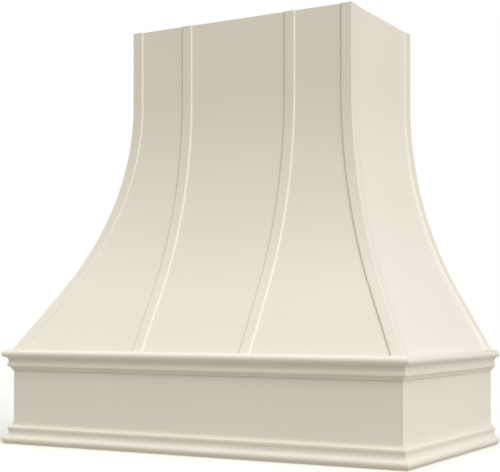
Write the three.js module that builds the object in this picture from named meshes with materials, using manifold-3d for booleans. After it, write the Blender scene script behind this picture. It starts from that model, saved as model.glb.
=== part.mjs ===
// A wooden range hood cover. Three painted skins of bending plywood flare out from a plumb chimney
// to a straight apron, over a frame of curved plywood ribs. Thin straps cover the hips and divide the
// front, a mitred moulding runs round the top and the bottom of the apron, and a plywood liner inside
// the apron carries the fan unit.
//
// Millimetres, +Z up. The origin is at the middle of the underside, and the wall is at +Y. Each piece is
// drawn in its own face of the hood: x runs along that face, -y points out of the hood and z is up.
import * as THREE from 'three';
import { mergeVertices } from 'three/addons/utils/BufferGeometryUtils.js';
import Module from 'manifold-3d';

// ---- Overall sizes ----
const hoodWidth = 914.4; // across the outer faces of the apron's side boards
const hoodDepth = 503; // wall to the front face of the apron
const hoodHeight = 914.4;
const apronHeight = 205;

// ---- Flare: plumb chimney, round bend, straight foot ----
const flareRun = 187.5; // how far the apron stands out beyond the chimney, in front and at each side
const chimneyHeight = 161.8; // plumb length above the bend
const footLean = THREE.MathUtils.degToRad(30.8); // lean of the straight foot from plumb
const footStandOut = 1.9; // how far the straps' feet stand out over the apron's face
const bendSegments = 24;
const shortestFoot = 1; // straight length that every line keeps below its bend

// ---- Skins and straps ----
const skinThickness = 6.35;
const strapThickness = 3.2;
const strapEdgeRadius = 1.6;
const strapEdgeSegments = 4;
const frontStrapWidth = 25;
const sideStrapWidth = 28.6;
const sidePanelWidth = 105.2; // on the chimney's front, from a corner strap to the next middle strap

// ---- Apron and its mouldings ----
const boardThickness = 19;
const mouldingHeight = 44.5;
const mouldingProjection = 19;
const noseTopRun = 11.5; // the nosing is a quarter ellipse above its widest level and one below
const noseTopDrop = 9.4;
const noseUnderRun = 8;
const noseUnderDrop = 7.1;
const coveRadius = 11.6;
const coveFloor = 7.5; // material left behind the deepest point of the cove
const lipProjection = 9.6;
const lipThickness = 4.4;
const heelProjection = 2.6;
const heelHeight = 1.6;
const hollowSag = 1.6;
const profileSegments = 10;

// ---- Ribs and rails ----
const ribThickness = 18;
const ribWidth = 64;
const hipRibWidth = 89; // measured level, along the diagonal
const railThickness = 19;
const topRailWidth = 64;
const baseRailWidth = 64;
const blockingHeight = 38;
const hangingRailHeight = 89;
const cornerBlockLeg = 38;

// ---- Liner ----
const linerThickness = 12.7;
const linerRecess = 50.8; // from the hood's underside up to the liner
const ledgerHeight = 38;
const cutOutWidth = 711;
const cutOutDepth = 267;
const cutOutCorner = 6;
const cutOutCornerSegments = 6;

// ---- Screws ----
const screwLength = 38;
const screwRadius = 2;
const screwHeadRadius = 4;
const screwHeadDepth = 2.6;
const screwTip = 6;
const screwSides = 16;
const linerScrewsAcross = 2; // in the front ledger and in the wall ledger
const linerScrewsDeep = 2; // in each side ledger
const screwEndDistance = 60; // from the end of a ledger to its first screw

// ---- Clearances ----
const fitGap = 0.3; // glue line, and the gap of every close fit
const linerGap = 0.8; // between the liner and the boards round it

// ---- Places worked out from the sizes above ----
const chimneyHalfWidth = hoodWidth / 2 - flareRun;
const chimneyDepth = hoodDepth - flareRun;
// Centre line of each middle strap, from the middle of the front.
const middleStrapPlace = chimneyHalfWidth - 1.5 * frontStrapWidth - sidePanelWidth;
const bendTop = hoodHeight - chimneyHeight;
const flareDrop = bendTop - apronHeight;
const flareReach = flareRun + footStandOut;
// The radius that makes the bend meet a foot of this lean exactly where the foot lands.
const bendRadius =
  (flareDrop * Math.sin(footLean) - flareReach * Math.cos(footLean)) / (1 - Math.cos(footLean));
const skinDepth = strapThickness; // from the straps' outer face in to the skins' outer face
const frameDepth = skinDepth + skinThickness + fitGap; // and in to the edges of ribs and rails
const mitreSetBack = (fitGap / 2) * Math.SQRT2; // each half of a mitre stops this short of the hip
const topRailBottom = hoodHeight - railThickness;
const baseRailBottom = apronHeight - railThickness;
const linerTop = linerRecess + linerThickness;
const ledgerTop = linerTop + ledgerHeight;
const apronInside = boardThickness + fitGap; // from the apron's outer face in to what is fixed inside it

// ---- Faces of the hood ----
// base is how far the chimney's face lies from the wall (front) or from the middle (sides).
// hip is how far along the face the chimney's corner lies. Both grow by the same amount down the
// flare, so one upright plane at 45 degrees holds every mitre of a corner.
const frontFace = { base: chimneyDepth, hip: chimneyHalfWidth, turn: 0 };
const rightFace = { base: chimneyHalfWidth, hip: chimneyDepth, turn: Math.PI / 2 };
const leftFace = { ...rightFace, turn: -rightFace.turn };
const frontApron = chimneyDepth + flareRun;
const sideApron = chimneyHalfWidth + flareRun;

// How far along a face the hip lies, at this distance out.
function hipAlong(face, out) {
  return face.hip + (out - face.base);
}

// ---- Materials ----
function paint() {
  return new THREE.MeshStandardMaterial({ color: '#ebe3d0', roughness: 0.42, metalness: 0 });
}

function plywood() {
  return new THREE.MeshStandardMaterial({ color: '#cfae7f', roughness: 0.75, metalness: 0 });
}

function softwood() {
  return new THREE.MeshStandardMaterial({ color: '#d8bd8d', roughness: 0.7, metalness: 0 });
}

function zinc() {
  return new THREE.MeshStandardMaterial({ color: '#b9bcc0', roughness: 0.35, metalness: 0.9 });
}

// ---- Scene ----
const hood = new THREE.Group();
hood.position.y = (hoodDepth + fitGap + mouldingProjection) / 2;

function addGroup(turn) {
  const group = new THREE.Group();
  group.rotation.z = turn;
  hood.add(group);
  return group;
}

const front = addGroup(frontFace.turn);
const right = addGroup(rightFace.turn);
const left = addGroup(leftFace.turn);

function addPiece(group, name, geometry, material) {
  const mesh = new THREE.Mesh(geometry, material);
  mesh.name = name;
  group.add(mesh);
}

// ---- Shaping tools ----

// Carries an outline of (out, up) points in a straight line along a face. Each end is a function of
// the distance out, so it can be cut square or on the mitre. The run goes from the larger place along
// the face to the smaller.
function run(outline, startAt, endAt) {
  const geometry = new THREE.ExtrudeGeometry(new THREE.Shape(outline), { depth: 1, bevelEnabled: false });
  const corner = geometry.attributes.position;
  for (let i = 0; i < corner.count; i += 1) {
    const out = corner.getX(i);
    const along = THREE.MathUtils.lerp(startAt(out), endAt(out), corner.getZ(i));
    corner.setXYZ(i, along, -out, corner.getY(i));
  }
  geometry.computeVertexNormals();
  return geometry;
}

// A square end at a fixed place along the face.
function squareEnd(along) {
  return () => along;
}

// A mitred end on the hip at the +x (side = 1) or -x (side = -1) end of a face.
function mitredEnd(face, side, setBack = mitreSetBack) {
  return (out) => side * (hipAlong(face, out) - setBack);
}

// A run across the front with both ends mitred.
function frontRun(outline) {
  return run(outline, mitredEnd(frontFace, 1), mitredEnd(frontFace, -1));
}

// A run along one side, from wallGap off the wall to the mitre at the front corner.
function sideRun(face, outline, wallGap = 0, setBack = mitreSetBack) {
  if (face === rightFace) {
    return run(outline, squareEnd(-wallGap), mitredEnd(face, -1, setBack));
  }
  return run(outline, mitredEnd(face, 1, setBack), squareEnd(wallGap));
}

// The same piece on the front and on both sides, drawn from its outline on each face.
function addThreeRuns(name, outlineOn, material, wallGap) {
  addPiece(front, `${name}_front`, frontRun(outlineOn(frontFace)), material());
  addPiece(right, `${name}_right`, sideRun(rightFace, outlineOn(rightFace), wallGap), material());
  addPiece(left, `${name}_left`, sideRun(leftFace, outlineOn(leftFace), wallGap), material());
}

function rectangle(out, up, outEnd, upEnd) {
  return [
    new THREE.Vector2(out, up),
    new THREE.Vector2(outEnd, up),
    new THREE.Vector2(outEnd, upEnd),
    new THREE.Vector2(out, upEnd),
  ];
}

// A box standing in a face's own axes.
function block(alongMiddle, alongSize, out, up, outEnd, upEnd) {
  const half = alongSize / 2;
  return run(rectangle(out, up, outEnd, upEnd), squareEnd(alongMiddle + half), squareEnd(alongMiddle - half));
}

// Joins equal rings of points into one closed skin with a fan of triangles over each end. The rings
// are convex. A ring that runs the other way round is told by flipped.
function loft(rings, flipped) {
  const size = rings[0].length;
  const triangles = [];
  for (let ring = 0; ring + 1 < rings.length; ring += 1) {
    for (let k = 0; k < size; k += 1) {
      const a = ring * size + k;
      const b = ring * size + ((k + 1) % size);
      triangles.push([a, b, a + size], [b, b + size, a + size]);
    }
  }
  const last = (rings.length - 1) * size;
  for (let k = 1; k + 1 < size; k += 1) {
    triangles.push([0, k + 1, k], [last, last + k, last + k + 1]);
  }
  const geometry = new THREE.BufferGeometry();
  geometry.setAttribute('position', new THREE.Float32BufferAttribute(rings.flat(2), 3));
  geometry.setIndex(triangles.flatMap(([a, b, c]) => (flipped ? [a, c, b] : [a, b, c])));
  geometry.computeVertexNormals();
  return geometry;
}

// ---- Cutting ----
const wasm = await Module();
wasm.setup();

function toSolid(geometry) {
  const bare = geometry.clone();
  bare.deleteAttribute('normal');
  bare.deleteAttribute('uv');
  const merged = mergeVertices(bare);
  return new wasm.Manifold(
    new wasm.Mesh({
      numProp: 3,
      vertProperties: new Float32Array(merged.attributes.position.array),
      triVerts: new Uint32Array(merged.index.array),
    }),
  );
}

function toGeometry(solid) {
  const mesh = solid.getMesh();
  const geometry = new THREE.BufferGeometry();
  geometry.setAttribute('position', new THREE.BufferAttribute(mesh.vertProperties, 3));
  geometry.setIndex(new THREE.BufferAttribute(mesh.triVerts, 1));
  geometry.computeVertexNormals();
  return geometry;
}

function cut(geometry, cutters) {
  const cutSolid = cutters.reduce((rest, cutter) => rest.subtract(toSolid(cutter)), toSolid(geometry));
  return toGeometry(cutSolid);
}

// ---- Screws ----
// A screw is placed by the point at the middle of its head's flat, and drives down (side = -1) or
// up (side = 1) from there. In a hole both the shank and the countersunk head keep the fit gap.
function screw(place, side) {
  const profile = [
    new THREE.Vector2(0, -screwLength),
    new THREE.Vector2(screwRadius, -screwLength + screwTip),
    new THREE.Vector2(screwRadius, -screwHeadDepth),
    new THREE.Vector2(screwHeadRadius, 0),
    new THREE.Vector2(0, 0),
  ];
  const geometry = new THREE.LatheGeometry(profile, screwSides);
  geometry.rotateX((-side * Math.PI) / 2);
  geometry.translate(place.x, place.y, place.z);
  return geometry;
}

function screwHole(place, side) {
  const deep = screwLength + fitGap;
  const shank = new THREE.CylinderGeometry(screwRadius + fitGap, screwRadius + fitGap, deep, screwSides);
  shank.translate(0, -deep / 2, 0);
  const sinkDepth = screwHeadDepth + 2 * fitGap;
  const sink = new THREE.CylinderGeometry(screwHeadRadius + 2 * fitGap, screwRadius, sinkDepth, screwSides);
  sink.translate(0, fitGap - sinkDepth / 2, 0);
  for (const cutter of [shank, sink]) {
    cutter.rotateX((-side * Math.PI) / 2);
    cutter.translate(place.x, place.y, place.z);
  }
  return [shank, sink];
}

function drill(geometry, places, side) {
  return cut(geometry, places.flatMap((place) => screwHole(place, side)));
}

// ---- The flare's line ----

// How far round the bend a line of this radius goes: to the foot's lean, or in a deep rib only until
// it is about to reach footLevel.
function bendAngle(radius, footLevel) {
  const fullDrop = radius * Math.sin(footLean);
  const drop = Math.min(fullDrop, bendTop - footLevel - shortestFoot);
  return Math.asin(drop / radius);
}

// Point i of the flare's section at an inward depth from the straps' outer face. Point 0 is at the
// top, the next ones follow the bend, and the last is where the straight foot reaches footLevel.
// u is how far the point stands out beyond the chimney.
function flarePoint(i, depth, topLevel, footLevel) {
  if (i === 0) {
    return { u: -depth, z: topLevel };
  }
  const radius = bendRadius + depth;
  const angle = (bendAngle(radius, footLevel) * Math.min(i - 1, bendSegments)) / bendSegments;
  const u = bendRadius - radius * Math.cos(angle);
  const z = bendTop - radius * Math.sin(angle);
  if (i <= bendSegments + 1) {
    return { u, z };
  }
  return { u: u + (z - footLevel) * Math.tan(footLean), z: footLevel };
}

const flareCount = bendSegments + 3;

function flareLine(depth, topLevel = hoodHeight, footLevel = apronHeight) {
  return Array.from({ length: flareCount }, (_, i) => flarePoint(i, depth, topLevel, footLevel));
}

// The outline of a sheet or rib that follows the flare between two inward depths.
function flareBand(face, outer, inner, topLevel) {
  const outside = flareLine(outer, topLevel);
  const inside = flareLine(inner, topLevel).reverse();
  return [...outside, ...inside].map(({ u, z }) => new THREE.Vector2(face.base + u, z));
}

// ---- Skins ----
function skinOutline(face) {
  return flareBand(face, skinDepth, skinDepth + skinThickness, hoodHeight);
}

addThreeRuns('skin', skinOutline, paint);

// ---- Straps ----

// The two long edges of a strap's section are rounded over. A section point has its distance across
// the strap from one edge, its inward depth, and whether it is measured from the hip's mitre plane.
function squareEdgePoints(across, direction) {
  const points = [];
  for (let k = 0; k <= strapEdgeSegments; k += 1) {
    const angle = ((Math.PI / 2) * k) / strapEdgeSegments;
    points.push({
      across: across + direction * strapEdgeRadius * (1 - Math.sin(angle)),
      depth: strapEdgeRadius * (1 - Math.cos(angle)),
      onHip: false,
    });
  }
  points.push({ across, depth: strapThickness - fitGap, onHip: false });
  return points;
}

// The hip's arris is rounded too: each strap carries half of the quarter round, up to the mitre.
function hipEdgePoints() {
  const points = [{ across: mitreSetBack, depth: strapThickness - fitGap, onHip: true }];
  for (let k = strapEdgeSegments; k >= 0; k -= 1) {
    const angle = ((Math.PI / 4) * k) / strapEdgeSegments;
    points.push({
      across: mitreSetBack + strapEdgeRadius * (Math.cos(angle) - Math.sin(angle)),
      depth: strapEdgeRadius * (1 - Math.cos(angle)),
      onHip: true,
    });
  }
  return points;
}

function plainSection(width) {
  return [...squareEdgePoints(0, 1).reverse(), ...squareEdgePoints(width, -1)];
}

function hipSection(width) {
  return [...hipEdgePoints(), ...squareEdgePoints(width, -1)];
}

// Carries a section down the flare. edgeAlong gives the place along the face of the edge that the
// section is measured from, for a point at this distance out, and side turns the strap round.
function strap(face, section, edgeAlong, side) {
  const faceLine = flareLine(0);
  const lines = section.map(({ depth }) => flareLine(depth));
  const rings = faceLine.map((facePoint, i) =>
    section.map(({ across, onHip }, k) => {
      const point = lines[k][i];
      const edge = edgeAlong(face.base + (onHip ? point.u : facePoint.u));
      return [side * (edge - across), -(face.base + point.u), point.z];
    }),
  );
  return loft(rings, side < 0);
}

function hipStrap(face, width, side) {
  return strap(face, hipSection(width), (out) => hipAlong(face, out), side);
}

function addFrontStraps() {
  const middleEdge = () => middleStrapPlace + frontStrapWidth / 2;
  for (const [place, side] of [['right', 1], ['left', -1]]) {
    const corner = hipStrap(frontFace, frontStrapWidth, side);
    addPiece(front, `strap_front_corner_${place}`, corner, paint());
    const middle = strap(frontFace, plainSection(frontStrapWidth), middleEdge, side);
    addPiece(front, `strap_front_middle_${place}`, middle, paint());
  }
}

// On the right side the hip lies at the -x end of the face, on the left side at the +x end.
function addSideStraps() {
  for (const [group, face, place, side] of [
    [right, rightFace, 'right', -1],
    [left, leftFace, 'left', 1],
  ]) {
    addPiece(group, `strap_side_front_${place}`, hipStrap(face, sideStrapWidth, side), paint());
    const wallStrap = strap(face, plainSection(sideStrapWidth), () => sideStrapWidth, side);
    addPiece(group, `strap_side_wall_${place}`, wallStrap, paint());
  }
}

addFrontStraps();
addSideStraps();

// ---- Apron ----
function apronFace(face) {
  return face.base + flareRun;
}

function apronOutline(face) {
  return rectangle(apronFace(face) - boardThickness, 0, apronFace(face), apronHeight);
}

addThreeRuns('apron', apronOutline, paint);

// ---- Mouldings ----

// One profile serves both mouldings. x is how far it projects from the apron and y is how far it lies
// from the outer end: a full nosing, a cove, a flat lip, and a small hollow back to a low heel.
function mouldingProfile() {
  const noseEnd = mouldingProjection - noseUnderRun;
  const coveCentre = coveFloor + coveRadius;
  const coveStartRise = Math.sqrt(coveRadius ** 2 - (coveCentre - noseEnd) ** 2);
  const coveEndRise = Math.sqrt(coveRadius ** 2 - (coveCentre - lipProjection) ** 2);
  const coveMiddle = noseTopDrop + noseUnderDrop + coveStartRise;
  const lipEnd = coveMiddle + coveEndRise + lipThickness;
  const hollowEnd = mouldingHeight - heelHeight;
  const noseTop = mouldingProjection - noseTopRun;
  const profile = new THREE.Path();
  profile.moveTo(0, 0);
  profile.lineTo(noseTop, 0);
  profile.absellipse(noseTop, noseTopDrop, noseTopRun, noseTopDrop, -Math.PI / 2, 0);
  profile.absellipse(noseEnd, noseTopDrop, noseUnderRun, noseUnderDrop, 0, Math.PI / 2);
  const coveStart = Math.atan2(-coveStartRise, noseEnd - coveCentre);
  const coveEnd = Math.atan2(coveEndRise, lipProjection - coveCentre);
  profile.absarc(coveCentre, coveMiddle, coveRadius, coveStart, coveEnd, true);
  profile.lineTo(lipProjection, lipEnd);
  const sagX = (lipProjection + heelProjection) / 2 - hollowSag;
  const sagY = (lipEnd + hollowEnd) / 2 - hollowSag;
  profile.quadraticCurveTo(sagX, sagY, heelProjection, hollowEnd);
  profile.lineTo(heelProjection, mouldingHeight);
  profile.lineTo(0, mouldingHeight);
  return profile.getPoints(profileSegments);
}

function mouldingOutline(face, toHeight) {
  return mouldingProfile().map(({ x, y }) => new THREE.Vector2(apronFace(face) + fitGap + x, toHeight(y)));
}

addThreeRuns('moulding_upper', (face) => mouldingOutline(face, (y) => apronHeight - y), paint);
addThreeRuns('moulding_lower', (face) => mouldingOutline(face, (y) => y), paint);

// ---- Ribs ----

// Behind each middle strap a rib runs from the base rail up to the underside of the top rail.
function middleRib(place) {
  const outline = flareBand(frontFace, frameDepth, frameDepth + ribWidth, topRailBottom);
  return run(outline, squareEnd(place + ribThickness / 2), squareEnd(place - ribThickness / 2));
}

// Against the wall a rib follows each side skin.
function wallRib(face) {
  const outline = flareBand(face, frameDepth, frameDepth + ribWidth, topRailBottom);
  if (face === rightFace) {
    return run(outline, squareEnd(0), squareEnd(-ribThickness));
  }
  return run(outline, squareEnd(ribThickness), squareEnd(0));
}

// In each front corner a rib stands on the diagonal, where the flare reaches root two times as far.
// Its square edge keeps clear of both skins by half its own thickness.
function hipRib() {
  const line = flareLine(frameDepth, topRailBottom);
  const outside = line.map(({ u, z }) => new THREE.Vector2(Math.SQRT2 * u - ribThickness / 2, z));
  const inside = outside.map(({ x, y }) => new THREE.Vector2(x - hipRibWidth, y)).reverse();
  return run([...outside, ...inside], squareEnd(ribThickness / 2), squareEnd(-ribThickness / 2));
}

// A group whose -y axis is the outward diagonal from the chimney's corner.
function addHipGroup(side) {
  const group = addGroup((side * Math.PI) / 4);
  group.position.set(side * chimneyHalfWidth, -chimneyDepth, 0);
  return group;
}

// ---- Screws of the top frame ----
// One screw goes down through the top rail into the head of each rib, half way across the rib.
const ribHeadInset = frameDepth + ribWidth / 2;

function middleScrew(side) {
  return new THREE.Vector3(side * middleStrapPlace, -(frontFace.base - ribHeadInset), hoodHeight);
}

function wallScrew(face) {
  const along = face === rightFace ? -ribThickness / 2 : ribThickness / 2;
  return new THREE.Vector3(along, -(face.base - ribHeadInset), hoodHeight);
}

function addRibs() {
  for (const [place, side] of [['right', 1], ['left', -1]]) {
    const middle = drill(middleRib(side * middleStrapPlace), [middleScrew(side)], -1);
    addPiece(front, `rib_middle_${place}`, middle, plywood());
    addPiece(addHipGroup(side), `rib_hip_${place}`, hipRib(), plywood());
  }
  addPiece(right, 'rib_wall_right', drill(wallRib(rightFace), [wallScrew(rightFace)], -1), plywood());
  addPiece(left, 'rib_wall_left', drill(wallRib(leftFace), [wallScrew(leftFace)], -1), plywood());
}

addRibs();

// ---- Rails ----

// Flat rails close the top, in line with the skins' inner faces.
function topRailOutline(face) {
  const outer = face.base - frameDepth;
  return rectangle(outer - topRailWidth, topRailBottom, outer, hoodHeight);
}

function addTopRails() {
  const frontRail = drill(frontRun(topRailOutline(frontFace)), [middleScrew(1), middleScrew(-1)], -1);
  addPiece(front, 'rail_top_front', frontRail, softwood());
  const rightRail = drill(sideRun(rightFace, topRailOutline(rightFace)), [wallScrew(rightFace)], -1);
  addPiece(right, 'rail_top_right', rightRail, softwood());
  const leftRail = drill(sideRun(leftFace, topRailOutline(leftFace)), [wallScrew(leftFace)], -1);
  addPiece(left, 'rail_top_left', leftRail, softwood());
}

function addTopFrameScrews() {
  addPiece(front, 'screw_top_middle_right', screw(middleScrew(1), -1), zinc());
  addPiece(front, 'screw_top_middle_left', screw(middleScrew(-1), -1), zinc());
  addPiece(right, 'screw_top_wall_right', screw(wallScrew(rightFace), -1), zinc());
  addPiece(left, 'screw_top_wall_left', screw(wallScrew(leftFace), -1), zinc());
}

// Flat rails inside the apron carry the feet of the ribs.
function baseRailOutline(face) {
  const outer = apronFace(face) - apronInside;
  return rectangle(outer - baseRailWidth, baseRailBottom, outer, apronHeight);
}

// Short lengths of blocking stand on edge between the ribs, just above the bend.
function blockingOutline(face) {
  const outer = face.base - frameDepth;
  return rectangle(outer - railThickness, bendTop, outer, bendTop + blockingHeight);
}

function addBlocking() {
  const besideHip = (ribThickness / 2) * Math.SQRT2 + mitreSetBack;
  const besideRib = ribThickness / 2 + fitGap;
  const outline = blockingOutline(frontFace);
  const insideEdge = middleStrapPlace - besideRib;
  const outsideEdge = middleStrapPlace + besideRib;
  const middle = run(outline, squareEnd(insideEdge), squareEnd(-insideEdge));
  addPiece(front, 'blocking_front_middle', middle, softwood());
  const rightEnd = run(outline, mitredEnd(frontFace, 1, besideHip), squareEnd(outsideEdge));
  addPiece(front, 'blocking_front_right', rightEnd, softwood());
  const leftEnd = run(outline, squareEnd(-outsideEdge), mitredEnd(frontFace, -1, besideHip));
  addPiece(front, 'blocking_front_left', leftEnd, softwood());
  const wallEnd = ribThickness + fitGap;
  const rightSide = sideRun(rightFace, blockingOutline(rightFace), wallEnd, besideHip);
  addPiece(right, 'blocking_side_right', rightSide, softwood());
  const leftSide = sideRun(leftFace, blockingOutline(leftFace), wallEnd, besideHip);
  addPiece(left, 'blocking_side_left', leftSide, softwood());
}

// Two rails stand against the wall and hang the hood. The upper one is screwed to the studs between
// the wall ribs' heads, and the lower one closes the back of the apron.
function addHangingRails() {
  const upperHalf = chimneyHalfWidth - frameDepth - Math.max(ribWidth, topRailWidth) - fitGap;
  const upper = block(0, 2 * upperHalf, 0, hoodHeight - hangingRailHeight, railThickness, hoodHeight);
  addPiece(front, 'rail_hanging_upper', upper, softwood());
  const lowerHalf = sideApron - apronInside;
  const lower = block(0, 2 * lowerHalf, 0, linerTop, railThickness, apronHeight);
  addPiece(front, 'rail_hanging_lower', lower, softwood());
}

addTopRails();
addTopFrameScrews();
addThreeRuns('rail_base', baseRailOutline, softwood, railThickness + fitGap);
addBlocking();
addHangingRails();

// ---- Corner blocks ----

// Three-cornered glue blocks stiffen the apron's corners between the ledgers and the base rails.
function cornerBlock(cornerAlong, cornerOut, alongSide, outSide) {
  const plan = new THREE.Shape([
    new THREE.Vector2(cornerAlong, -cornerOut),
    new THREE.Vector2(cornerAlong + alongSide * cornerBlockLeg, -cornerOut),
    new THREE.Vector2(cornerAlong, -(cornerOut + outSide * cornerBlockLeg)),
  ]);
  const geometry = new THREE.ExtrudeGeometry(plan, { depth: baseRailBottom - ledgerTop, bevelEnabled: false });
  geometry.translate(0, 0, ledgerTop);
  return geometry;
}

function addCornerBlocks() {
  const cornerAlong = sideApron - apronInside;
  for (const [place, side] of [['right', 1], ['left', -1]]) {
    const frontBlock = cornerBlock(side * cornerAlong, frontApron - apronInside, -side, -1);
    addPiece(front, `corner_block_front_${place}`, frontBlock, softwood());
    const wallBlock = cornerBlock(side * cornerAlong, railThickness + fitGap, -side, 1);
    addPiece(front, `corner_block_wall_${place}`, wallBlock, softwood());
  }
}

addCornerBlocks();

// ---- Ledgers, liner and its screws ----
function ledgerOutline(face) {
  const outer = apronFace(face) - apronInside;
  return rectangle(outer - railThickness, linerTop, outer, ledgerTop);
}

// Places along a length, the first and last at the same distance from its ends, or one half way.
function spread(low, high, count) {
  if (count === 1) {
    return [(low + high) / 2];
  }
  return Array.from({ length: count }, (_, i) => THREE.MathUtils.lerp(low, high, i / (count - 1)));
}

const ledgerMiddle = apronInside + railThickness / 2;
const wallLedgerOut = railThickness + fitGap;
const acrossEnd = sideApron - apronInside - screwEndDistance;
const deepEnds = [wallLedgerOut + screwEndDistance, frontApron - apronInside - screwEndDistance];

// Screw places on the front face's axes, for the front ledger, the wall ledger and each side ledger.
function linerScrewPlaces() {
  const at = (along, out) => new THREE.Vector3(along, -out, linerRecess);
  const across = spread(-acrossEnd, acrossEnd, linerScrewsAcross);
  const deep = spread(...deepEnds, linerScrewsDeep);
  return {
    front: across.map((along) => at(along, frontApron - ledgerMiddle)),
    wall: across.map((along) => at(along, wallLedgerOut + railThickness / 2)),
    right: deep.map((out) => at(sideApron - ledgerMiddle, out)),
    left: deep.map((out) => at(ledgerMiddle - sideApron, out)),
  };
}

// The same places on a side face's own axes.
function turnedPlaces(places, face) {
  const up = new THREE.Vector3(0, 0, 1);
  return places.map((place) => place.clone().applyAxisAngle(up, -face.turn));
}

function addLedgers(places) {
  const sideGap = wallLedgerOut + railThickness + fitGap;
  const frontLedger = drill(frontRun(ledgerOutline(frontFace)), places.front, 1);
  addPiece(front, 'ledger_front', frontLedger, softwood());
  for (const [group, face, name] of [[right, rightFace, 'right'], [left, leftFace, 'left']]) {
    const ledger = sideRun(face, ledgerOutline(face), sideGap);
    addPiece(group, `ledger_${name}`, drill(ledger, turnedPlaces(places[name], face), 1), softwood());
  }
  const wallLength = 2 * (sideApron - apronInside);
  const wallLedger = block(0, wallLength, wallLedgerOut, linerTop, wallLedgerOut + railThickness, ledgerTop);
  addPiece(front, 'ledger_wall', drill(wallLedger, places.wall, 1), softwood());
}

// A rectangle with rounded corners, for the cut-out that the fan unit drops into.
function cutOutPath(middleOut) {
  const halfWidth = cutOutWidth / 2;
  const halfDepth = cutOutDepth / 2;
  const turnX = halfWidth - cutOutCorner;
  const turnY = halfDepth - cutOutCorner;
  const path = new THREE.Path();
  path.absarc(turnX, turnY - middleOut, cutOutCorner, 0, Math.PI / 2);
  path.absarc(-turnX, turnY - middleOut, cutOutCorner, Math.PI / 2, Math.PI);
  path.absarc(-turnX, -turnY - middleOut, cutOutCorner, Math.PI, 1.5 * Math.PI);
  path.absarc(turnX, -turnY - middleOut, cutOutCorner, 1.5 * Math.PI, 2 * Math.PI);
  path.closePath();
  return path;
}

function linerPanel(places) {
  const halfWidth = sideApron - boardThickness - linerGap;
  const frontEdge = frontApron - boardThickness - linerGap;
  const plan = new THREE.Shape(rectangle(-halfWidth, -frontEdge, halfWidth, 0));
  plan.holes.push(cutOutPath(frontEdge / 2));
  const curveSegments = cutOutCornerSegments;
  const panel = new THREE.ExtrudeGeometry(plan, { depth: linerThickness, bevelEnabled: false, curveSegments });
  panel.translate(0, 0, linerRecess);
  return drill(panel, Object.values(places).flat(), 1);
}

function addLinerScrews(places) {
  for (const [edge, edgePlaces] of Object.entries(places)) {
    edgePlaces.forEach((place, i) => {
      addPiece(front, `screw_liner_${edge}_${i + 1}`, screw(place, 1), zinc());
    });
  }
}

const linerPlaces = linerScrewPlaces();
addLedgers(linerPlaces);
addPiece(front, 'liner_panel', linerPanel(linerPlaces), plywood());
addLinerScrews(linerPlaces);

export default hood;
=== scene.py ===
# %% [markdown]
# # A painted wooden cover for a kitchen range hood
#
# The object is a wall-hung cover of bent plywood: a plumb chimney flares out in one round bend to
# a straight apron. Thin raised straps run down the hips, along the wall and over the front, and
# the same moulding goes round the apron twice, once upright and once turned over. Inside are the
# curved ribs, the rails that the cover hangs by, and a liner panel with the opening for the fan
# unit.
#
# The carcass comes in as a fixed frame in metres, with the wall on the +Y side. Skins, straps,
# boards, mouldings, ribs and screws are worked out again here at a finer grain, and each new
# piece takes the place of its own solid. Four drilled boards stay as they are and only take a
# finish.

# %% Load the frame
import math

import bpy
import numpy as np
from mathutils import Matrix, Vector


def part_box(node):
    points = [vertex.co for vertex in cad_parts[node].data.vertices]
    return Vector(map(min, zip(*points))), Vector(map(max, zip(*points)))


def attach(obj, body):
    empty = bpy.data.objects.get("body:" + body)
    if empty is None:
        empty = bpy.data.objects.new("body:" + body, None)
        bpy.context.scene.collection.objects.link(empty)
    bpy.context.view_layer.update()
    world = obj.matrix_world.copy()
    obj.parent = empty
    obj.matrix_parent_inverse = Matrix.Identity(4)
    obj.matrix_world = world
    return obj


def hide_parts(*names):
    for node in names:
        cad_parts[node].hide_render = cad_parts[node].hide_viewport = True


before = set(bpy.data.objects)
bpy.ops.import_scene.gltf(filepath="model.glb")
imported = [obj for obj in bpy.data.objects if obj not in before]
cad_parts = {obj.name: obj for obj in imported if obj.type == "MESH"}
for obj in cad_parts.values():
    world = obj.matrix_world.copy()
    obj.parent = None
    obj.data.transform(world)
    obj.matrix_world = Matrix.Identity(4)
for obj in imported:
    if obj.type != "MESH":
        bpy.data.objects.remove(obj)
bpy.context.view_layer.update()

# %% [markdown]
# ## Sizes
#
# A joiner would take the sizes off the carcass itself, and so does this cell: heights and the
# places of the wall and the apron are read from the nodes' boxes. The rest are the few sizes a
# box can't tell, such as the lean that sets the radius of the bend. All are in metres.

# %% Sizes of the cover
MM = 0.001
WALL_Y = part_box("skin_right")[1].y
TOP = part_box("skin_front")[1].z
APRON_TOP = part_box("apron_front")[1].z
APRON_OUT = {"front": WALL_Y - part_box("apron_front")[0].y, "side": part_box("apron_right")[1].x}

FLARE_RUN = 187.5 * MM
BEND_TOP = TOP - 161.8 * MM
FOOT_LEAN = math.radians(30.8)
FOOT_STAND_OUT = 1.9 * MM
STRAP_THICKNESS = 3.2 * MM
SKIN_THICKNESS = 6.35 * MM
FRONT_STRAP_WIDTH = 25 * MM
SIDE_STRAP_WIDTH = 28.6 * MM
MIDDLE_STRAP_PLACE = 127 * MM
BOARD_THICKNESS = 19 * MM
GLUE_LINE = 0.3 * MM

SIDES = {"right": 1, "left": -1}
FACES = ("front", *SIDES)
CHIMNEY = {face: APRON_OUT["front" if face == "front" else "side"] - FLARE_RUN for face in FACES}
HIP = {face: CHIMNEY["right" if face == "front" else "front"] for face in FACES}

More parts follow.
